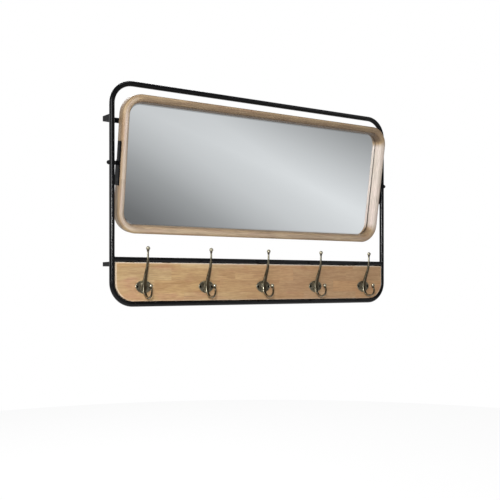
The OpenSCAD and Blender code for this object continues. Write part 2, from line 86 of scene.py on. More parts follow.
def arc(cx, cy, radius, start, end, steps):
    angles = np.radians(np.linspace(start, end, steps + 1))
    return [(cx + radius * math.cos(a), cy + radius * math.sin(a)) for a in angles]


def curveThrough(rows, steps):
    # smooth line through the rows of a table, each row with all its columns
    rows = np.array(rows, float)
    padded = np.vstack([rows[0], rows, rows[-1]])
    made = []
    for i in range(1, len(padded) - 2):
        a, b, c, d = padded[i - 1:i + 3]
        for t in np.arange(steps) / steps:
            made.append(0.5 * (2 * b + (c - a) * t + (2 * a - 5 * b + 4 * c - d) * t ** 2
                               + (3 * b - a - 3 * c + d) * t ** 3))
    made.append(rows[-1])
    return np.array(made)


def writeValues(piece, name, values):
    layer = piece.data.attributes.new(name, "FLOAT", "POINT")
    layer.data.foreach_set("value", np.array(values, np.float32))


def writeGrain(piece, values):
    # the wood's own directions: along the grain, across it, and into the piece, in metres
    layer = piece.data.attributes.new("grain", "FLOAT_VECTOR", "POINT")
    layer.data.foreach_set("vector", np.array(values, np.float32).ravel())


def newMaterial(name):
    material = bpy.data.materials.new(name)
    material.use_nodes = True
    tree = material.node_tree
    tree.nodes.clear()
    out = tree.nodes.new("ShaderNodeOutputMaterial")
    shader = tree.nodes.new("ShaderNodeBsdfPrincipled")
    tree.links.new(shader.outputs[0], out.inputs[0])
    return material, tree, shader


def put(tree, kind, sockets=None, **settings):
    node = tree.nodes.new("ShaderNode" + kind)
    for key, value in settings.items():
        setattr(node, key, value)
    for key, value in (sockets or {}).items():
        plug(tree, node.inputs[key], value)
    return node


def plug(tree, socket, value):
    if isinstance(value, bpy.types.NodeSocket):
        tree.links.new(value, socket)
    else:
        socket.default_value = value


def sums(tree, operation, *values):
    node = put(tree, "Math", operation=operation)
    for socket, value in zip(node.inputs, values):
        plug(tree, socket, value)
    return node.outputs[0]


def blendColour(tree, amount, first, second, mode="MIX"):
    node = put(tree, "Mix", data_type="RGBA", blend_type=mode)
    for index, value in ((0, amount), (6, first), (7, second)):
        if not isinstance(value, (bpy.types.NodeSocket, float, int)):
            value = (*value[:3], 1)
        plug(tree, node.inputs[index], value)
    return node.outputs[2]


def spread(tree, value, low, high, outLow=0.0, outHigh=1.0):
    node = put(tree, "MapRange", {0: value, 1: low, 2: high, 3: outLow, 4: outHigh})
    return node.outputs[0]


def stretched(tree, vector, scale):
    node = put(tree, "VectorMath", operation="MULTIPLY")
    plug(tree, node.inputs[0], vector)
    node.inputs[1].default_value = scale
    return node.outputs[0]


def noise(tree, vector, scale, detail=2.0, roughness=0.5, distortion=0.0):
    node = put(tree, "TexNoise", {"Vector": vector, "Scale": scale, "Detail": detail,
                                  "Roughness": roughness, "Distortion": distortion})
    return node.outputs[0]


def bump(tree, shader, height, strength, distance):
    node = put(tree, "Bump", {"Strength": strength, "Distance": distance, "Height": height})
    tree.links.new(node.outputs[0], shader.inputs["Normal"])


def objectPoints(tree):
    return put(tree, "TexCoord").outputs["Object"]


def shade(colour, factor):
    return tuple(c * factor for c in colour)


def readTable(table, places):
    # values between the rows of a table of places and values
    return np.interp(places, *zip(*table))


woodShared = {
    # stain with painted shade, and bleach with painted highlight, show as much as a piece's own
    # tone-and-light value says
    "darkPatches": (0.122, 0.077, 0.043), "bleachedTanAndHighlight": (0.78, 0.69, 0.60),
    "bleachedPinkAndHighlight": (0.88, 0.75, 0.68), "paleHueEdge": (0.4, 0.62),
    "cloudEdge": (0.5, 0.68), "fleckEdge": (0.47, 0.72), "glintEdge": (0.5, 0.3),
    "lineEdge": (0.48, 0.75),
    "poreScale": (110, 2600, 2600), "poreEdge": (0.66, 0.74), "poreDepth": 0.3,
    "specular": 0.35, "relief": 0.35, "reliefDepth": 0.00025, "poreRelief": 0.6, "fleckRelief": 0.8,
}
boardWoodLook = {
    **woodShared,
    "light": (0.60, 0.408, 0.204), "middle": (0.475, 0.298, 0.143), "dark": (0.30, 0.165, 0.078),
    "red": (0.50, 0.265, 0.155), "tan": (0.61, 0.42, 0.198), "glint": (0.70, 0.52, 0.31),
    "wornAndLit": (0.78, 0.63, 0.46),
    "staveWidth": 0.0355, "staveLength": 0.21, "staveTone": 0.05, "staveHue": 0.06, "seed": 3.0,
    "figureScale": (7, 45, 45), "figureEdge": (0.38, 0.62),
    "fleckScale": (45, 330, 330), "lineScale": (8, 260, 260), "cloudScale": (9, 22, 22),
    "ruddyFrom": (4.75, 5.1), "ruddyDepth": 0.48,      # along the grain, 5 is the board's middle
    "fleckDepth": 0.36, "glintDepth": 0.26, "lineDepth": 0.46, "redDepth": 0.9, "tanDepth": 0.5,
    "edgeWornAndLit": 0.75, "roughness": 0.5,
}
frameWoodLook = {
    **woodShared,
    "light": (0.48, 0.34, 0.195), "middle": (0.32, 0.21, 0.12), "dark": (0.15, 0.09, 0.05),
    "red": (0.34, 0.195, 0.115), "tan": (0.50, 0.36, 0.19), "glint": (0.56, 0.44, 0.31),
    "wornAndLit": (0.72, 0.61, 0.47),
    "staveWidth": 0.5, "staveLength": 3.0, "staveTone": 0.04, "staveHue": 0.0, "seed": 11.0,
    "figureScale": (9, 110, 110), "figureEdge": (0.42, 0.58),
    "fleckScale": (24, 330, 330), "lineScale": (7, 420, 420), "cloudScale": (12, 60, 60),
    "ruddyFrom": (0, 1), "ruddyDepth": 0.0,
    "fleckDepth": 0.3, "glintDepth": 0.15, "lineDepth": 0.5, "redDepth": 0.6, "tanDepth": 0.5,
    "edgeWornAndLit": 0.15, "roughness": 0.46,
}


def grainNoise(tree, place, scale, **character):
    # noise that is drawn out along the grain
    return noise(tree, stretched(tree, place, scale), scale=1, **character)


def staveRandom(tree, parts, look):
    # a random value and a random colour for each stave of the glued-up wood
    stripe = sums(tree, "FLOOR", sums(tree, "DIVIDE", parts[1], look["staveWidth"]))
    shift = put(tree, "TexWhiteNoise", {"W": stripe}, noise_dimensions="1D").outputs[0]
    along = sums(tree, "DIVIDE", parts[0], look["staveLength"])
    number = sums(tree, "FLOOR", sums(tree, "ADD", along, shift))
    cell = put(tree, "CombineXYZ", {0: number, 1: stripe, 2: look["seed"]}).outputs[0]
    return put(tree, "TexWhiteNoise", {"Vector": cell}, noise_dimensions="3D").outputs


def staveTint(tree, stave, look):
    # staves differ in tone, and some are redder than others
    tone = spread(tree, stave[0], 0, 1, 1 - look["staveTone"], 1 + look["staveTone"])
    hue = spread(tree, put(tree, "SeparateColor", {0: stave[1]}).outputs[1], 0, 1,
                 1 - look["staveHue"], 1 + look["staveHue"])
    green = sums(tree, "MULTIPLY", tone, hue)
    blue = sums(tree, "MULTIPLY", green, hue)
    return put(tree, "CombineColor", {0: tone, 1: green, 2: blue}).outputs[0]


def woodFinish(name, look):
    material, tree, shader = newMaterial(name)
    grain = put(tree, "Attribute", attribute_name="grain").outputs["Vector"]
    parts = put(tree, "SeparateXYZ", {0: grain}).outputs
    stave = staveRandom(tree, parts, look)
    place = put(tree, "VectorMath", {0: grain, 1: stave[1]}, operation="ADD").outputs[0]
    figure = grainNoise(tree, place, look["figureScale"], detail=4, roughness=0.55, distortion=0.7)
    flecks = grainNoise(tree, place, look["fleckScale"], detail=3, roughness=0.6, distortion=0.3)
    lines = grainNoise(tree, place, look["lineScale"], detail=3, roughness=0.65, distortion=0.2)
    pores = grainNoise(tree, place, look["poreScale"])
    redCloud, tanCloud = (grainNoise(tree, start, look["cloudScale"], detail=3, roughness=0.55,
                                     distortion=0.5) for start in (grain, place))
    tans = spread(tree, tanCloud, *look["cloudEdge"], 0, look["tanDepth"])
    reds = sums(tree, "MAXIMUM", spread(tree, redCloud, *look["cloudEdge"], 0, look["redDepth"]),
                spread(tree, parts[0], *look["ruddyFrom"], 0, look["ruddyDepth"]))
    # the piece's own value: below zero darker with stain and painted shade, above zero paler with bleach
    # and painted highlight
    toneAndLight = put(tree, "Attribute", attribute_name="toneAndLight").outputs["Fac"]
    bleachedAndHighlight = blendColour(tree, spread(tree, redCloud, *look["paleHueEdge"]),
                           look["bleachedTanAndHighlight"], look["bleachedPinkAndHighlight"])
    fleckMask = spread(tree, flecks, *look["fleckEdge"], 0, look["fleckDepth"])
    glintMask = spread(tree, flecks, *look["glintEdge"], 0, look["glintDepth"])
    lineMask = spread(tree, lines, *look["lineEdge"], 0, look["lineDepth"])
    poreMask = spread(tree, pores, *look["poreEdge"])
    colour = blendColour(tree, spread(tree, figure, *look["figureEdge"]), look["light"], look["middle"])
    layers = [   # each with its amount, one over the other
        (tans, look["tan"]), (reds, look["red"]),
        (spread(tree, toneAndLight, 0, -1), look["darkPatches"]), (spread(tree, toneAndLight, 0, 1), bleachedAndHighlight),
        (fleckMask, look["dark"]), (glintMask, look["glint"]), (lineMask, look["dark"]),
        (sums(tree, "MULTIPLY", poreMask, look["poreDepth"]), look["dark"]),
    ]
    for amount, paint in layers:
        colour = blendColour(tree, amount, colour, paint)
    colour = blendColour(tree, 1.0, colour, staveTint(tree, stave, look), "MULTIPLY")
    # wear and painted highlight along the rounded edges
    edge = put(tree, "Attribute", attribute_name="edge").outputs["Fac"]
    colour = blendColour(tree, sums(tree, "MULTIPLY", edge, look["edgeWornAndLit"]), colour, look["wornAndLit"])
    tree.links.new(colour, shader.inputs["Base Color"])
    tree.links.new(spread(tree, lines, 0.3, 0.8, look["roughness"] - 0.05, look["roughness"] + 0.1),
                   shader.inputs["Roughness"])
    shader.inputs["Specular IOR Level"].default_value = look["specular"]
    height = sums(tree, "SUBTRACT", lines, sums(tree, "MULTIPLY", poreMask, look["poreRelief"]))
    height = sums(tree, "SUBTRACT", height, sums(tree, "MULTIPLY", fleckMask, look["fleckRelief"]))
    bump(tree, shader, height, look["relief"], look["reliefDepth"])
    return material


def powderCoat(name, colour, roughness, sheen=0.3, refraction=1.25):
    material, tree, shader = newMaterial(name)
    place = objectPoints(tree)
    peel = noise(tree, place, scale=700)
    cloud = noise(tree, place, scale=30, detail=3, roughness=0.6)
    coat = blendColour(tree, spread(tree, cloud, 0.3, 0.7), shade(colour, 0.8), shade(colour, 1.25))
    tree.links.new(coat, shader.inputs["Base Color"])
    tree.links.new(spread(tree, cloud, 0.3, 0.7, roughness - 0.03, roughness + 0.04),
                   shader.inputs["Roughness"])
    shader.inputs["Specular IOR Level"].default_value = sheen
    shader.inputs["IOR"].default_value = refraction
    bump(tree, shader, peel, strength=0.02, distance=0.0001)
    return material


brassLook = {
    "dark": (0.056, 0.044, 0.026), "bright": (0.50, 0.465, 0.35), "dull": 0.44, "shine": 0.22,
    "stained": 0.22, "specked": 0.35,
}
screwBrassLook = {**brassLook, "dark": (0.02, 0.017, 0.013), "bright": (0.10, 0.085, 0.06)}


def agedBrass(name, look):
    # dark patina that is rubbed bright where the piece's wear is high, with painted highlight and painted
    # shade in the same value
    material, tree, shader = newMaterial(name)
    place = objectPoints(tree)
    darkPatches = noise(tree, place, scale=120, detail=5, roughness=0.62, distortion=0.5)
    speck = noise(tree, place, scale=1400, detail=3, roughness=0.6)
    wearAndLight = put(tree, "Attribute", attribute_name="wearAndLight").outputs["Fac"]
    rubbedAndLit = sums(tree, "ADD", wearAndLight, spread(tree, darkPatches, 0.3, 0.7, -look["stained"], look["stained"]))
    colour = blendColour(tree, spread(tree, rubbedAndLit, 0.1, 0.9), look["dark"], look["bright"])
    colour = blendColour(tree, spread(tree, speck, 0.6, 0.75, 0, look["specked"]), colour, look["dark"])
    tree.links.new(colour, shader.inputs["Base Color"])
    shader.inputs["Metallic"].default_value = 1.0
    tree.links.new(spread(tree, rubbedAndLit, 0.1, 0.9, look["dull"], look["shine"]),
                   shader.inputs["Roughness"])
    bump(tree, shader, sums(tree, "ADD", speck, darkPatches), strength=0.15, distance=0.0002)
    return material


def bareMetal(name, colour, roughness, spangle=160):
    material, tree, shader = newMaterial(name)
    place = objectPoints(tree)
    flake = put(tree, "TexVoronoi", {"Vector": place, "Scale": spangle})
    haze = noise(tree, place, scale=700, detail=3, roughness=0.6)
    tone = spread(tree, put(tree, "SeparateColor", {0: flake.outputs["Color"]}).outputs[0],
                  0, 1, 0.82, 1.0)
    tint = put(tree, "CombineColor", {0: tone, 1: tone, 2: tone}).outputs[0]
    tree.links.new(blendColour(tree, 1.0, colour, tint, "MULTIPLY"), shader.inputs["Base Color"])
    shader.inputs["Metallic"].default_value = 1.0
    tree.links.new(spread(tree, haze, 0.3, 0.7, roughness - 0.06, roughness + 0.1),
                   shader.inputs["Roughness"])
    bump(tree, shader, haze, strength=0.08, distance=0.0001)
    return material


def silveredGlass(name, colour, shadeLineColour):
    # a mirror with faint smears, and a dark dull line of painted shade along the wood
    material, tree, shader = newMaterial(name)
    smear = noise(tree, stretched(tree, objectPoints(tree), (3, 3, 9)), scale=1.5,
                  detail=3, roughness=0.6, distortion=1.0)
    # the amount of painted shade along the wood
    edge = put(tree, "Attribute", attribute_name="edge").outputs["Fac"]
    silver = blendColour(tree, spread(tree, smear, 0.3, 0.7), shade(colour, 0.99), colour)
    tree.links.new(blendColour(tree, edge, silver, shadeLineColour), shader.inputs["Base Color"])
    shader.inputs["Metallic"].default_value = 1.0
    haze = spread(tree, smear, 0.35, 0.8, 0.004, 0.03)
    tree.links.new(sums(tree, "ADD", haze, sums(tree, "MULTIPLY", edge, 0.4)),
                   shader.inputs["Roughness"])
    return material


def pressedBoard(name, colour):
    material, tree, shader = newMaterial(name)
    place = objectPoints(tree)
    fibre = noise(tree, stretched(tree, place, (1, 1, 1.6)), scale=420,
                  detail=5, roughness=0.7, distortion=1.2)
    fleck = noise(tree, place, scale=60, detail=4, roughness=0.6)
    tone = blendColour(tree, spread(tree, fibre, 0.3, 0.7), shade(colour, 0.7), shade(colour, 1.35))
    tree.links.new(blendColour(tree, spread(tree, fleck, 0.5, 0.8, 0, 0.4), tone, shade(colour, 0.6)),
                   shader.inputs["Base Color"])
    shader.inputs["Roughness"].default_value = 0.75
    bump(tree, shader, fibre, strength=0.4, distance=0.0003)
    return material


finishes = {   # the record's slots
    "black_tube": powderCoat("blackTube", (0.003, 0.003, 0.0036), 0.2, sheen=0.7),
    "black_steel": powderCoat("blackSteel", (0.004, 0.004, 0.0047), 0.36, sheen=0.26, refraction=1.14),
    "black_bolts": powderCoat("blackBolts", (0.007, 0.007, 0.0075), 0.26),
    "black_screws": powderCoat("blackScrews", (0.009, 0.0085, 0.008), 0.36),
    "black_plastic": powderCoat("blackPlastic", (0.014, 0.014, 0.014), 0.5),
    "board_wood": woodFinish("boardWood", boardWoodLook),
    "frame_wood": woodFinish("frameWood", frameWoodLook),
    "aged_brass": agedBrass("agedBrass", brassLook),
    "brass_screws": agedBrass("screwBrass", screwBrassLook),
    "zinc_screws": bareMetal("zincScrews", (0.62, 0.62, 0.6), 0.34),
    "zinc_clips": bareMetal("zincClips", (0.66, 0.66, 0.63), 0.36, spangle=90),
    "silvered_glass": silveredGlass("silveredGlass", (0.93, 0.945, 0.95), (0.03, 0.028, 0.026)),
    "hardboard": pressedBoard("hardboard", (0.17, 0.095, 0.052)),
}
for subpart in frame["record"]["subparts"]:
    node = frame["nodes"][subpart["node"]]
    for slot in node.material_slots:
        slot.material = finishes[subpart["material_slot"]]
print("finishes made and put on the packed nodes")


def addPiece(piece, body, slotName, *replaced):
    piece.data.materials.append(finishes[slotName])
    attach(piece, body)
    if replaced:
        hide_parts(*replaced)
    return piece


mirrorWood = {
    "halfWidth": 0.465, "halfHeight": 0.19075, "cornerRadius": 0.058,
    "pivotY": -0.068, "pivotZ": 0.07225, "tilt": 9.3,
    "width": 0.021, "back": -0.0125, "front": 0.0195,      # section, with the pivots at zero
    "outerRound": 0.007, "innerRound": (0.012, 0.009), "slope": 0.003, "softEdge": 0.0008,
    "rebateWidth": 0.008, "glassFront": -0.0055,
    "bendSteps": 16, "straightSteps": 60, "softSteps": 3, "innerSteps": 14, "outerSteps": 12,
    # the front face's wear and painted highlight
    "rubbedAndLitDepth": 0.004, "rubbedAndLit": 0.5,      # wear of the front face
    # how much paler or darker the wood is, -1 stained and in painted shade to 1 whitened and with painted
    # highlight: outer side, front, inner shoulder, foot by the glass
    "toneAndLight": {"top_rail": (0.0, -0.52, -1.0, -1.0), "bottom_rail": (0.0, 0.2, 0.0, -0.4),
             "left_stile": (-0.15, 0.62, 0.05, -0.35), "right_stile": (0.6, 0.95, 1.0, 0.95)},
    # the corners' tones, with painted shade on their dark inner shoulders
    "cornerToneAndLight": {"topLeft": (-0.1, 0.3, -0.4, -0.7), "topRight": (0.0, -0.3, -0.9, -1.0),
                   "lowLeft": (-0.1, 0.5, 0.05, -0.4), "lowRight": (0.0, 0.1, -0.15, -0.6)},
    "corners": {"top_rail": ("topLeft", "topRight"), "bottom_rail": ("lowRight", "lowLeft"),
                "left_stile": ("lowLeft", "topLeft"), "right_stile": ("topRight", "lowRight")},
    "cornerFade": (0.014, 0.042),      # from a mitre, where the corner's tone begins and ends to fade
    "sideToFront": (0.004, 0.008),     # from the outer side, where its tone turns into the front's
    "shoulderDepth": 0.6,              # where the shoulder's tone is, as a share of the inner rounding
}


def fromMirror(x, y, z):
    # a point of the mirror, x right, y up and z towards the room, tilted about its pivots
    t = math.radians(mirrorWood["tilt"])
    return (x, mirrorWood["pivotY"] - z * math.cos(t) - y * math.sin(t),
            mirrorWood["pivotZ"] + y * math.cos(t) - z * math.sin(t))


def railSection():
    # inwards from the outer side, and towards the room
    m = mirrorWood
    w, e, r, few = m["width"], m["softEdge"], m["outerRound"], m["softSteps"]
    across, deep = m["innerRound"]
    inner = w - m["rebateWidth"]
    return (arc(e, m["back"] + e, e, 180, 270, few)
            + arc(inner - e, m["back"] + e, e, 270, 360, few)
            + [(inner, m["glassFront"])]
            + arc(w + m["slope"] - e / 2, m["glassFront"] + e / 2, e / 2, 270, 360, few)
            + [(w - across + x * across, m["front"] - deep + y * deep)
               for x, y in arc(0, 0, 1, 0, 90, m["innerSteps"])]
            + arc(r, m["front"] - r, r, 90, 180, m["outerSteps"]))


def toneAndLightAt(tone, px, py):
    # tone and painted light at a point of the section, from those of its four places
    m = mirrorWood
    if px < m["width"] / 2:
        return float(np.interp(px, m["sideToFront"], tone[:2]))
    depths = (-m["front"], m["shoulderDepth"] * m["innerRound"][1] - m["front"], -m["glassFront"])
    return float(np.interp(-py, depths, tone[1:]))


def railStations(straight):
    # sections from mitre to mitre, as the turning centre's x and the angle, and the length up to each
    m = mirrorWood
    bend = m["bendSteps"] + 1
    stations = [(-straight, math.radians(a)) for a in np.linspace(135, 90, bend)]
    stations += [(x, math.pi / 2) for x in np.linspace(-straight, straight, m["straightSteps"])[1:]]
    stations += [(straight, math.radians(a)) for a in np.linspace(90, 45, bend)[1:]]
    lengths = [0.0]
    for (x0, a0), (x1, a1) in zip(stations, stations[1:]):
        bent = (m["cornerRadius"] - m["width"] / 2) * abs(a1 - a0)
        lengths.append(lengths[-1] + abs(x1 - x0) + bent)
    return stations, lengths


def railPiece(node, outerHalf, reach, turn, grainStart):
    # a rail along the top edge, mitred through its corner bends, then turned to its side
    m = mirrorWood
    radius = m["cornerRadius"]
    section = railSection()
    stations, lengths = railStations(outerHalf - radius)
    own = np.array(m["toneAndLight"][node])
    before, after = (np.array(m["cornerToneAndLight"][corner]) for corner in m["corners"][node])
    c, s = math.cos(math.radians(turn)), math.sin(math.radians(turn))
    rings, grain, edges, tonesAndLight = [], [], [], []
    for (middle, angle), length in zip(stations, lengths):
        # near a mitre both pieces have the corner's tone and painted light
        start, end = (np.interp(gap, m["cornerFade"], (1, 0)) for gap in (length, lengths[-1] - length))
        tone = own + start * (before - own) + end * (after - own)
        ring = []
        for px, py in section:
            x = middle + (radius - px) * math.cos(angle)
            y = reach - radius + (radius - px) * math.sin(angle)
            ring.append(fromMirror(x * c - y * s, x * s + y * c, py))
            grain.append((length + grainStart, px + grainStart, py))
            # wear and painted highlight along the front's crest
            edges.append(max(0.0, 1 - abs(py - m["front"]) / m["rubbedAndLitDepth"]) * m["rubbedAndLit"])
            tonesAndLight.append(toneAndLightAt(tone, px, py))
        rings.append(ring)
    piece = meshObject(node + "Shaped", *ringShell(rings))
    writeGrain(piece, grain)
    writeValues(piece, "edge", edges)
    writeValues(piece, "toneAndLight", tonesAndLight)
    faceOutwards(piece)
    return addPiece(piece, "mirror", "frame_wood", node)


wide, tall = mirrorWood["halfWidth"], mirrorWood["halfHeight"]
# node, half the length, distance from the mirror's middle, turn, start of its own grain
for rail in (("top_rail", wide, tall, 0, 0.0), ("bottom_rail", wide, tall, 180, 1.7),
             ("left_stile", tall, wide, 90, 3.1), ("right_stile", tall, wide, -90, 4.6)):
    railPiece(*rail)
print("mirror frame made")


mirrorGlass = {
    "thick": 0.003, "inset": 0.014,      # how far inside the wood's outer edge
    # a dark line of painted shade along the wood, its strength given by height on the mirror
    "shadeLine": 0.003, "lineFade": 0.0006,
    "lineShade": [(-0.164, 0.12), (-0.155, 1.0), (0.1, 1.0), (0.16, 0.35)],      # by height on the mirror
}


def glassOutline(inset):
    m = mirrorWood
    steps = m["bendSteps"]
    x, y, r = m["halfWidth"] - inset, m["halfHeight"] - inset, m["cornerRadius"] - inset
    return (arc(x - r, y - r, r, 0, 90, steps) + arc(r - x, y - r, r, 90, 180, steps)
            + arc(r - x, r - y, r, 180, 270, steps) + arc(x - r, r - y, r, 270, 360, steps))


def glassPiece():
    # a dark line of painted shade along the wood, where the rebate under the lip lies in shade
    m, g = mirrorWood, mirrorGlass
    front, back = m["glassFront"], m["glassFront"] - g["thick"]
    seen = m["width"] + m["slope"] + g["shadeLine"]
    steps = [(g["inset"], back, 1.0), (g["inset"], front, 1.0),
             (seen, front, 1.0), (seen + g["lineFade"], front, 0.0)]
    rings = [[fromMirror(x, y, z) for x, y in glassOutline(inset)] for inset, z, dark in steps]
    piece = meshObject("mirrorGlassShaped", *ringShell(rings))
    writeValues(piece, "edge", [dark * readTable(g["lineShade"], y)
                                for inset, z, dark in steps for x, y in glassOutline(inset)])
    faceOutwards(piece)
    return addPiece(piece, "mirror", "silvered_glass", "mirror_glass")


glassPiece()
print("glass made")


board = {
    "halfWidth": 0.4745, "bottom": -0.3073, "top": -0.1995,
    "frontY": -0.075, "thickness": 0.012, "edge": 0.0015,
    "lowerRadius": 0.0522, "upperRadius": 0.003, "smallestRadius": 0.0006,
    "lowerSteps": 20, "upperSteps": 5, "grainStart": 5,
    # the board's rounded edge carries wear and painted highlight, less of it along the lower edge, which
    # lies in shade
    "wornAndLitFace": [(0.003, 0.0), (0.001, 0.6)],      # inside the rounded edge, and the wear there
    "lowBand": 0.01, "lowBandLight": 0.35,      # the lower edge is less pale
}


def boardOutline(inset):
    b = board
    x, low, high = b["halfWidth"] - inset, b["bottom"] + inset, b["top"] - inset
    big = b["lowerRadius"] - inset
    small = max(b["upperRadius"] - inset, b["smallestRadius"])
    line = arc(x - big, low + big, big, 270, 360, b["lowerSteps"])
    line += arc(x - small, high - small, small, 0, 90, b["upperSteps"])
    line += arc(small - x, high - small, small, 90, 180, b["upperSteps"])
    line += arc(big - x, low + big, big, 180, 270, b["lowerSteps"])
    return line


def boardPiece():
    b = board
    e = b["edge"]
    turn = [math.radians(a) for a in (0, 22.5, 45, 67.5, 90)]
    steps = [(e + inside, 0, wornAndLit) for inside, wornAndLit in b["wornAndLitFace"]]
    steps += [(e - e * math.sin(a), e - e * math.cos(a), 1.0) for a in turn]
    steps += [(inset, b["thickness"] - depth, wornAndLit) for inset, depth, wornAndLit in reversed(steps)]
    rings = [[(x, b["frontY"] + depth, z) for x, z in boardOutline(inset)]
             for inset, depth, wornAndLit in steps]
    points, faces = ringShell(rings)
    piece = meshObject("hookBoardShaped", points, faces)
    writeGrain(piece, [(x + b["grainStart"], z, y) for x, y, z in points])
    wearAndLight = np.repeat([wornAndLit for inset, depth, wornAndLit in steps], len(rings[0]))
    low = np.array(points)[:, 2] < b["bottom"] + b["lowBand"]
    # painted highlight and wear on the rounded edges, less along the lower edge, which lies in shade
    writeValues(piece, "edge", np.where(low, wearAndLight * b["lowBandLight"], wearAndLight))
    faceOutwards(piece)
    return addPiece(piece, "frame", "board_wood", "hook_board")


boardPiece()
print("hook board made")


hook = {
    "count": 5, "pitch": 0.1965, "centreZ": -0.267, "faceY": -0.075,
    "plateHalf": 0.025, "plateUp": 0.018, "plateDown": 0.020, "plateThick": 0.003,
    "plateTip": (1.35, 1.2), "plateStep": 4,      # powers that narrow the lower half, degrees per point
    "plateEdge": 0.0009, "backEdge": 0.0003,
    "screwX": 0.0185, "screwHole": 0.00215, "screwHead": 0.0040, "headDepth": 0.0021, "holeSides": 24,
    "pad": {"halfWidth": 0.0105, "halfHeight": 0.0165, "centre": -0.002, "foot": 0.0022, "rise": 0.0026,
            "steps": 9, "crown": 88, "sides": 36},      # the crown is in degrees up the rounding
    "ball": 0.0058, "balls": [(0.0325, 0.106), (0.052, 0.003)],      # reach and height, upper and lower
    "collar": {"back": 0.0002, "below": 0.0068, "radius": 0.0039, "half": 0.0011,
               "steps": 12, "sides": 28},
    "bar": [    # reach, height, half width, half depth
        (0.0325, 0.106, 0.0025, 0.0024), (0.032, 0.094, 0.0025, 0.0024),
        (0.031, 0.076, 0.0029, 0.0026), (0.0255, 0.053, 0.0040, 0.0030),
        (0.0145, 0.029, 0.0052, 0.0036), (0.007, 0.006, 0.0060, 0.0040),
        (0.007, -0.009, 0.0056, 0.0040), (0.0105, -0.019, 0.0050, 0.0036),
        (0.020, -0.0275, 0.0040, 0.0031), (0.0325, -0.030, 0.0031, 0.0028),
        (0.045, -0.0285, 0.0028, 0.0026), (0.054, -0.0235, 0.0025, 0.0024),
        (0.0578, -0.015, 0.0023, 0.0023), (0.0565, -0.006, 0.0022, 0.0022),
        (0.052, 0.003, 0.0022, 0.0022),
    ],
    "barSides": 28, "barSteps": 10, "barSquare": 0.62,
    "voxel": 0.0006, "softening": 0.5, "softenings": 4,
    # wear of the metal, with painted highlight on the balls, the bar's edges and the plate's rim, and
    # painted shade under the balls
    "wornAndLit": {   # how bright the metal is rubbed
        # along the bar, from the upper ball at 0 to the lower one at 1
        "edges": [(0.0, 0.4), (0.12, 0.4), (0.25, 0.3), (0.5, 0.8), (0.65, 0.6), (0.82, 0.1),
                  (1.0, 0.5)],
        "middle": [(0.0, 0.5), (0.12, 0.3), (0.22, 0.0), (0.35, 0.0), (0.5, 0.12), (0.7, 0.05),
                   (0.86, 0.0), (1.0, 0.45)],
        "edgeFrom": [(0.55, 0.0), (0.9, 1.0)],      # across the bar, in half widths
        "nearBar": (1.5, 1.08),      # what counts as bar, in half depths and half widths
        "plateFace": 0.3, "plateRim": 0.45, "rimFrom": [(0.88, 0.0), (0.98, 1.0)],
        "faceDepth": 0.0003,      # this far above the plate's face is still plate
        "elsewhere": 0.1,
        # painted highlight on a ball's top and painted shade under it
        "ball": [(-0.005, 0.05), (-0.002, 0.5), (0.001, 0.9)],      # by height from the ball's middle
        "ballReach": 0.0066, "collar": [(0.009, 0.0), (0.0115, 1.0)],      # by distance from it
    },
}


def plateOutline(inset):
    h = hook
    sideTip, downTip = h["plateTip"]
    line = []
    for a in np.radians(np.arange(0, 360, h["plateStep"])):
        c, s = math.cos(a), math.sin(a)
        if s >= 0:
            line.append((h["plateHalf"] * c, h["plateUp"] * s))
        else:
            line.append((h["plateHalf"] * math.copysign(abs(c) ** sideTip, c),
                         h["plateDown"] * math.copysign(abs(s) ** downTip, s)))
    line = np.array(line)
    along = np.roll(line, -1, 0) - np.roll(line, 1, 0)
    out = np.stack([along[:, 1], -along[:, 0]], 1)
    out /= np.linalg.norm(out, axis=1)[:, None]
    return line - out * inset


def hookPlateShell():
    # egg-shaped plate with two countersunk holes
    h = hook
    e, t, back, sides = h["plateEdge"], h["plateThick"], h["backEdge"], h["holeSides"]
    steps = [(back, 0.0), (0.0, back), (0.0, t - e)]
    steps += [(e - e * math.cos(a), t - e + e * math.sin(a)) for a in np.radians((30, 60, 90))]
    rings = [[(x, y, z) for x, y in plateOutline(inset)] for inset, z in steps]
    points, faces = ringShell(rings, capEnds=False)
    count = len(rings[0])
    circle = np.radians(np.arange(sides) * 360 / sides)
    levels = (("top", h["screwHead"], t), ("neck", h["screwHole"], t - h["headDepth"]),
              ("low", h["screwHole"], 0.0))
    holes = {}
    for side in (-1, 1):
        for level, radius, z in levels:
            holes[side, level] = len(points)
            points += [(side * h["screwX"] + radius * math.cos(a), radius * math.sin(a), z)
                       for a in circle]
        for upper, lower in (("top", "neck"), ("neck", "low")):
            a, b = holes[side, upper], holes[side, lower]
            for k in range(sides):
                n = (k + 1) % sides
                faces.append((a + k, a + n, b + n, b + k))
    for first, level in (((len(rings) - 1) * count, "top"), (0, "low")):
        loops = [list(range(first, first + count))]
        loops += [list(range(holes[side, level], holes[side, level] + sides)) for side in (-1, 1)]
        flat = [i for loop in loops for i in loop]
        made = geometry.tessellate_polygon([[(points[i][0], points[i][1], 0) for i in loop]
                                            for loop in loops])
        faces += [tuple(flat[i] for i in tri) for tri in made]
    return points, faces


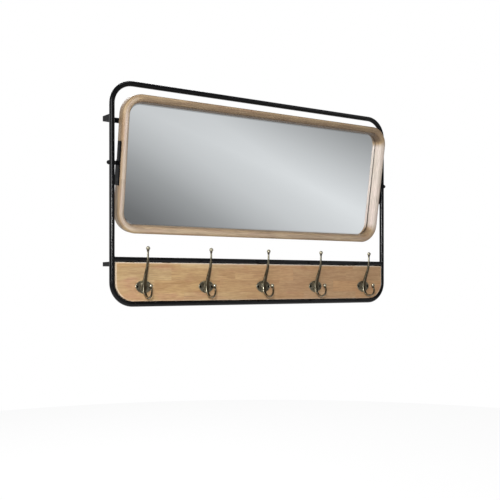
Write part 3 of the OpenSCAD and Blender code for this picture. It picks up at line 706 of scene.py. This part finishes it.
def hookBarShell():
    # the bent bar, from the upper ball round to the lower one
    h = hook
    rows = curveThrough(h["bar"], h["barSteps"])
    rings = []
    for i, (reach, height, halfW, halfD) in enumerate(rows):
        a, b = rows[max(i - 1, 0)], rows[min(i + 1, len(rows) - 1)]
        run = math.hypot(b[0] - a[0], b[1] - a[1])
        outZ, outY = (a[1] - b[1]) / run, (b[0] - a[0]) / run
        ring = []
        for k in range(h["barSides"]):
            angle = 2 * math.pi * k / h["barSides"]
            c, s = math.cos(angle), math.sin(angle)
            x = halfW * math.copysign(abs(c) ** h["barSquare"], c)
            d = halfD * math.copysign(abs(s) ** h["barSquare"], s)
            ring.append((x, height + d * outY, reach + d * outZ))
        rings.append(ring)
    return ringShell(rings)


def ballShell(reach, height):
    work = bmesh.new()
    bmesh.ops.create_icosphere(work, subdivisions=4, radius=hook["ball"])
    points = [(v.co.x, v.co.y + height, v.co.z + reach) for v in work.verts]
    faces = [tuple(v.index for v in f.verts) for f in work.faces]
    work.free()
    return points, faces


def fullTurn(sides):
    # angles once round
    return np.linspace(0, 2 * math.pi, sides + 1)[:-1]


def collarShell(ballReach, ballHeight):
    # a turned ring under a ball, round the upright bar
    collar = hook["collar"]
    half = collar["half"]
    reach, height = ballReach - collar["back"], ballHeight - collar["below"]
    rings = []
    for t in fullTurn(collar["steps"]):
        radius = collar["radius"] - half + half * math.cos(t)
        level = height + half * math.sin(t)
        rings.append([(math.cos(a) * radius, level, reach + math.sin(a) * radius)
                      for a in fullTurn(collar["sides"])])
    points, faces = ringShell(rings, capEnds=False)
    count = len(rings[0])
    last = (len(rings) - 1) * count
    faces += [(last + k, last + (k + 1) % count, (k + 1) % count, k) for k in range(count)]
    return points, faces


def padShell():
    # raised pad that carries the bar on the plate
    pad = hook["pad"]
    rings = []
    for t in np.radians(np.linspace(0, pad["crown"], pad["steps"])):
        across, up = pad["halfWidth"] * math.cos(t), pad["halfHeight"] * math.cos(t)
        level = pad["foot"] + pad["rise"] * math.sin(t)
        rings.append([(across * math.cos(a), pad["centre"] + up * math.sin(a), level)
                      for a in fullTurn(pad["sides"])])
    return ringShell(rings)


def joinedShells(*shells):
    points, faces = [], []
    for p, f in shells:
        faces += [tuple(i + len(points) for i in face) for face in f]
        points += list(p)
    return points, faces


def hookMesh():
    # all its parts as one casting
    h = hook
    shells = [hookPlateShell(), hookBarShell(), padShell()]
    shells += [ballShell(*ball) for ball in h["balls"]]
    shells += [collarShell(*ball) for ball in h["balls"]]
    piece = meshObject("hookPattern", *joinedShells(*shells))
    faceOutwards(piece)
    remesh = piece.modifiers.new("cast", "REMESH")
    remesh.mode = "VOXEL"
    remesh.voxel_size = h["voxel"]
    remesh.use_smooth_shade = True
    soften = piece.modifiers.new("soften", "SMOOTH")
    soften.factor = h["softening"]
    soften.iterations = h["softenings"]
    graph = bpy.context.evaluated_depsgraph_get()
    made = bpy.data.meshes.new_from_object(piece.evaluated_get(graph))
    bpy.data.objects.remove(piece)
    return made


def hookWearAndLight(points):
    # bright where hands and straps rub, with painted highlight and shade as well: the balls, the bar's
    # edges and the plate's rim
    h, w = hook, hook["wornAndLit"]
    rows = curveThrough(h["bar"], h["barSteps"])
    away = np.linalg.norm(points[:, None, [2, 1]] - rows[None, :, :2], axis=2)
    near = away.argmin(axis=1)
    across = np.abs(points[:, 0]) / rows[near, 2]
    nearDeep, nearWide = w["nearBar"]
    onBar = (away.min(axis=1) < nearDeep * rows[near, 3]) & (across < nearWide)
    along = near / len(rows)
    edge = readTable(w["edges"], along) * readTable(w["edgeFrom"], across)
    values = np.where(onBar, readTable(w["middle"], along) + edge, w["elsewhere"])
    rim = np.hypot(points[:, 0] / h["plateHalf"],
                   points[:, 1] / np.where(points[:, 1] > 0, h["plateUp"], h["plateDown"]))
    onPlate = (points[:, 2] < h["plateThick"] + w["faceDepth"]) & ~onBar
    values = np.where(onPlate, w["plateFace"] + w["plateRim"] * readTable(w["rimFrom"], rim), values)
    for reach, height in h["balls"]:
        # painted shade: the collar and the ball's underside stay dark
        away = np.linalg.norm(points - np.array([0, height, reach]), axis=1)
        values = values * readTable(w["collar"], away)
        values = np.where(away < w["ballReach"], readTable(w["ball"], points[:, 1] - height), values)
    return np.clip(values, 0, 1)


def hookPiece(number, pattern, points, wearAndLight):
    # a copy of the pattern, carried to its place on the board
    h = hook
    mesh = pattern.copy()
    mesh.name = f"hookShaped_{number}"
    across = h["pitch"] * (number - (h["count"] + 1) / 2)
    moved = np.stack([points[:, 0] + across, h["faceY"] - points[:, 2], h["centreZ"] + points[:, 1]], 1)
    mesh.vertices.foreach_set("co", moved.astype(np.float32).ravel())
    piece = bpy.data.objects.new(f"hookShaped_{number}", mesh)
    scene.collection.objects.link(piece)
    writeValues(piece, "wearAndLight", wearAndLight)
    mesh.materials.clear()
    return addPiece(piece, "frame", "aged_brass", f"hook_{number}")


pattern = hookMesh()
patternPoints = np.zeros(len(pattern.vertices) * 3, np.float32)
pattern.vertices.foreach_get("co", patternPoints)
patternPoints = patternPoints.reshape(-1, 3).astype(float)
patternWearAndLight = hookWearAndLight(patternPoints)
for number in range(1, hook["count"] + 1):
    hookPiece(number, pattern, patternPoints, patternWearAndLight)
print("hooks made:", len(pattern.polygons), "faces each")


weld = {
    "legX": 0.4825,          # middle of the side tubes
    "tubeRadius": 0.0075,
    "planeY": -0.068,        # middle of all tubes
    "crossZ": -0.1915,       # middle of the crossbar
    "stripHalf": 0.0015,     # half the thickness of a hanger's strip
    "radius": 0.0011, "sides": 8, "ripple": 0.0035, "swell": 0.16, "endSize": 0.45,
    "offCrossbar": 0.0002, "offStrip": 0.0003, "endGap": 0.001,
    "aroundPoints": 73, "stripPoints": 20,
    "tubeReach": 0.012,      # a hanger's points less far behind the tubes' middle are at its tube
    "skew": (0.31, 0.17, 0.93),      # a direction that no bead follows
}


def beadPiece(name, lines):
    # small rippled beads along these lines
    shells = []
    for line in lines:
        line = np.array(line)
        run = np.gradient(line, axis=0)
        run /= np.linalg.norm(run, axis=1)[:, None]
        length = np.concatenate([[0], np.cumsum(np.linalg.norm(np.diff(line, axis=0), axis=1))])
        rings = []
        for i, (p, d) in enumerate(zip(line, run)):
            side = np.cross(d, weld["skew"])
            side /= np.linalg.norm(side)
            up = np.cross(side, d)
            size = 1 + weld["swell"] * math.sin(2 * math.pi * length[i] / weld["ripple"])
            if i in (0, len(line) - 1):
                size *= weld["endSize"]
            r = weld["radius"] * size
            rings.append([tuple(p + r * (math.cos(a) * side + math.sin(a) * up))
                          for a in fullTurn(weld["sides"])])
        shells.append(ringShell(rings))
    piece = meshObject(name, *joinedShells(*shells), sharpAngle=60)
    faceOutwards(piece)
    return addPiece(piece, "frame", "black_tube")


def saddleLine(side):
    # where the crossbar meets a side tube
    w = weld
    r = w["tubeRadius"]
    return [(side * (w["legX"] - abs(r * math.sin(a)) - w["offCrossbar"]),
             w["planeY"] - r * math.cos(a), w["crossZ"] + r * math.sin(a))
            for a in np.radians(np.linspace(0, 360, w["aroundPoints"]))]


def hangerLines(node):
    # beads on both sides of a hanger's strip, at the back of the tube
    w = weld
    side = -1 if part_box(node)[0].x < 0 else 1
    backY = w["planeY"] + math.sqrt(w["tubeRadius"] ** 2 - w["stripHalf"] ** 2)
    points = np.array([v.co for v in frame["nodes"][node].data.vertices])
    near = points[points[:, 1] < w["planeY"] + w["tubeReach"]]
    lowest, highest = near[:, 2].min() + w["endGap"], near[:, 2].max() - w["endGap"]
    heights = np.linspace(lowest, highest, w["stripPoints"])
    return [[(side * w["legX"] + s * (w["stripHalf"] + w["offStrip"]), backY, z) for z in heights]
            for s in (-1, 1)]


beadPiece("crossbarWelds", [saddleLine(-1), saddleLine(1)])
beadPiece("hangerWelds", [line for node in ("upper_hanger_left", "upper_hanger_right",
                                            "lower_hanger_left", "lower_hanger_right")
                          for line in hangerLines(node)])
print("weld beads made")


studio = {
    "floor": {"z": -1.3, "y": -0.3, "radius": 4.5, "sides": 96, "grey": 0.86, "roughness": 0.8,
              "glow": 1.15, "glowShare": 0.8},
    "worldLevel": 0.12,
    "lamps": [   # name, place, aim, size, watts
        ("keyLamp", (-1.9, -1.35, 0.5), (0, 0, 0), 1.2, 20),
        ("frontLamp", (-1.42, -2.15, 0.1), (0, 0, 0), 0.24, 29),
        ("fillLamp", (2.6, -2.6, 1.9), (0, 0, 0), 1.8, 10),
        ("topLamp", (-0.3, -1.0, 2.4), (0, 0, 0), 1.2, 10),
        ("backLamp", (0.4, 2.6, 1.6), (0, 0, 0), 1.8, 36),
    ],
    # the room that the mirror faces: light wall, darker to the low left and to the high right
    "room": {
        "wall": (0.77104, 0.79, 0.803272),
        "lowLeft": {"across": (2.678, 0.0, 4.873), "shift": -0.864,
                    "greys": [(-1.6, 0.12), (-1.05, 0.147), (-0.85, 0.222), (-0.7, 0.33),
                              (-0.55, 0.457), (-0.4, 0.63), (-0.25, 0.777), (-0.1, 0.875), (0.05, 1.0)]},
        "highRight": {"across": (1.53, 0.0, 4.873), "shift": -0.135,
                      "greys": [(-0.1, 1.0), (0.1, 0.985), (0.2, 0.872), (0.3, 0.753), (0.4, 0.614),
                                (0.55, 0.42), (1.2, 0.38)]},
        "middle": (0.502, -0.854, -0.14), "fade": (0.90, 0.955),
        "dim": (0.2, 0.2, 0.2), "whiteBehind": (0.2, 0.6),
    },
}


def makeFloor():
    look = studio["floor"]
    work = bmesh.new()
    bmesh.ops.create_circle(work, cap_ends=True, segments=look["sides"], radius=look["radius"])
    mesh = bpy.data.meshes.new("floor")
    work.to_mesh(mesh)
    work.free()
    floor = bpy.data.objects.new("floor", mesh)
    floor.location = (0, look["y"], look["z"])
    scene.collection.objects.link(floor)
    material, tree, shader = newMaterial("paleFloor")
    shader.inputs["Base Color"].default_value = (look["grey"], look["grey"], look["grey"], 1)
    shader.inputs["Roughness"].default_value = look["roughness"]
    glow = put(tree, "Emission", {"Color": (1, 1, 1, 1), "Strength": look["glow"]})
    rays = put(tree, "LightPath").outputs
    seen = sums(tree, "MAXIMUM", rays["Is Camera Ray"], rays["Is Glossy Ray"])
    seen = sums(tree, "MAXIMUM", seen, rays["Is Transmission Ray"])
    mix = put(tree, "MixShader", {0: sums(tree, "MULTIPLY", seen, look["glowShare"]),
                                  1: shader.outputs[0], 2: glow.outputs[0]})
    out = next(n for n in tree.nodes if n.type == "OUTPUT_MATERIAL")
    tree.links.new(mix.outputs[0], out.inputs[0])
    mesh.materials.append(material)


def toward(tree, direction, vector):
    return put(tree, "VectorMath", {0: direction, 1: vector}, operation="DOT_PRODUCT").outputs["Value"]


def softWall(tree, direction, side):
    # grey levels one after the other along a direction
    level = sums(tree, "ADD", toward(tree, direction, side["across"]), side["shift"])
    low, high = side["greys"][0][0], side["greys"][-1][0]
    ramp = put(tree, "ValToRGB", {0: spread(tree, level, low, high)})
    stops = ramp.color_ramp.elements
    stops.remove(stops[0])
    for i, (place, grey) in enumerate(side["greys"]):
        share = (place - low) / (high - low)
        stop = stops[0] if i == 0 else stops.new(share)
        stop.position = share
        stop.color = (grey, grey, grey, 1)
    return ramp.outputs[0]


def roomColour(tree):
    # the room in front, its near part dim, and white behind the object
    room = studio["room"]
    direction = put(tree, "TexCoord").outputs["Generated"]
    wall = blendColour(tree, 1.0, softWall(tree, direction, room["lowLeft"]),
                       softWall(tree, direction, room["highRight"]), "MULTIPLY")
    wall = blendColour(tree, 1.0, wall, room["wall"], "MULTIPLY")
    near = spread(tree, toward(tree, direction, room["middle"]), *room["fade"])
    seenRoom = blendColour(tree, near, room["dim"], wall)
    behind = spread(tree, toward(tree, direction, (0, 1, 0)), *room["whiteBehind"])
    return blendColour(tree, behind, seenRoom, (1.0, 1.0, 1.0))


def makeWorld():
    world = bpy.data.worlds.new("studioWorld")
    scene.world = world
    world.use_nodes = True
    tree = world.node_tree
    tree.nodes.clear()
    rays = put(tree, "LightPath").outputs
    shiny = sums(tree, "MAXIMUM", rays["Is Glossy Ray"], rays["Is Transmission Ray"])
    plain = put(tree, "Background", {"Color": (1, 1, 1, 1), "Strength": studio["worldLevel"]})
    surround = put(tree, "Background", {"Color": roomColour(tree), "Strength": 1.0})
    white = put(tree, "Background", {"Color": (1, 1, 1, 1), "Strength": 1.0})
    lit = put(tree, "MixShader", {0: shiny, 1: plain.outputs[0], 2: surround.outputs[0]})
    mix = put(tree, "MixShader", {0: rays["Is Camera Ray"], 1: lit.outputs[0], 2: white.outputs[0]})
    out = put(tree, "OutputWorld")
    tree.links.new(mix.outputs[0], out.inputs[0])


def aim(item, place, target):
    item.location = place
    toTarget = np.array(target, float) - np.array(place, float)
    flat = math.hypot(toTarget[0], toTarget[1])
    item.rotation_euler = (math.atan2(flat, -toTarget[2]), 0, math.atan2(-toTarget[0], toTarget[1]))


def makeLamps():
    for name, place, target, size, watts in studio["lamps"]:
        lamp = bpy.data.lights.new(name, "AREA")
        lamp.shape = "DISK"
        lamp.size = size
        lamp.energy = watts
        item = bpy.data.objects.new(name, lamp)
        scene.collection.objects.link(item)
        aim(item, place, target)


camera = {
    "place": (-1.2001, -1.9768, -0.2553), "turn": -31.244,
    "focal": 735.0, "frame": 500.0, "horizon": 282.57,      # pixels
    "sensor": 36.0,      # mm
}


def makeCamera():
    lens = bpy.data.cameras.new("camera")
    lens.sensor_width = camera["sensor"]
    lens.lens = camera["focal"] / camera["frame"] * camera["sensor"]
    lens.shift_y = (camera["horizon"] - camera["frame"] / 2) / camera["frame"]
    lens.dof.use_dof = False
    item = bpy.data.objects.new("camera", lens)
    item.location = camera["place"]
    item.rotation_euler = (math.pi / 2, 0, math.radians(camera["turn"]))
    scene.collection.objects.link(item)
    scene.camera = item


makeFloor()
makeWorld()
makeLamps()
makeCamera()
scene.view_settings.view_transform = "Standard"
print("studio and camera made")
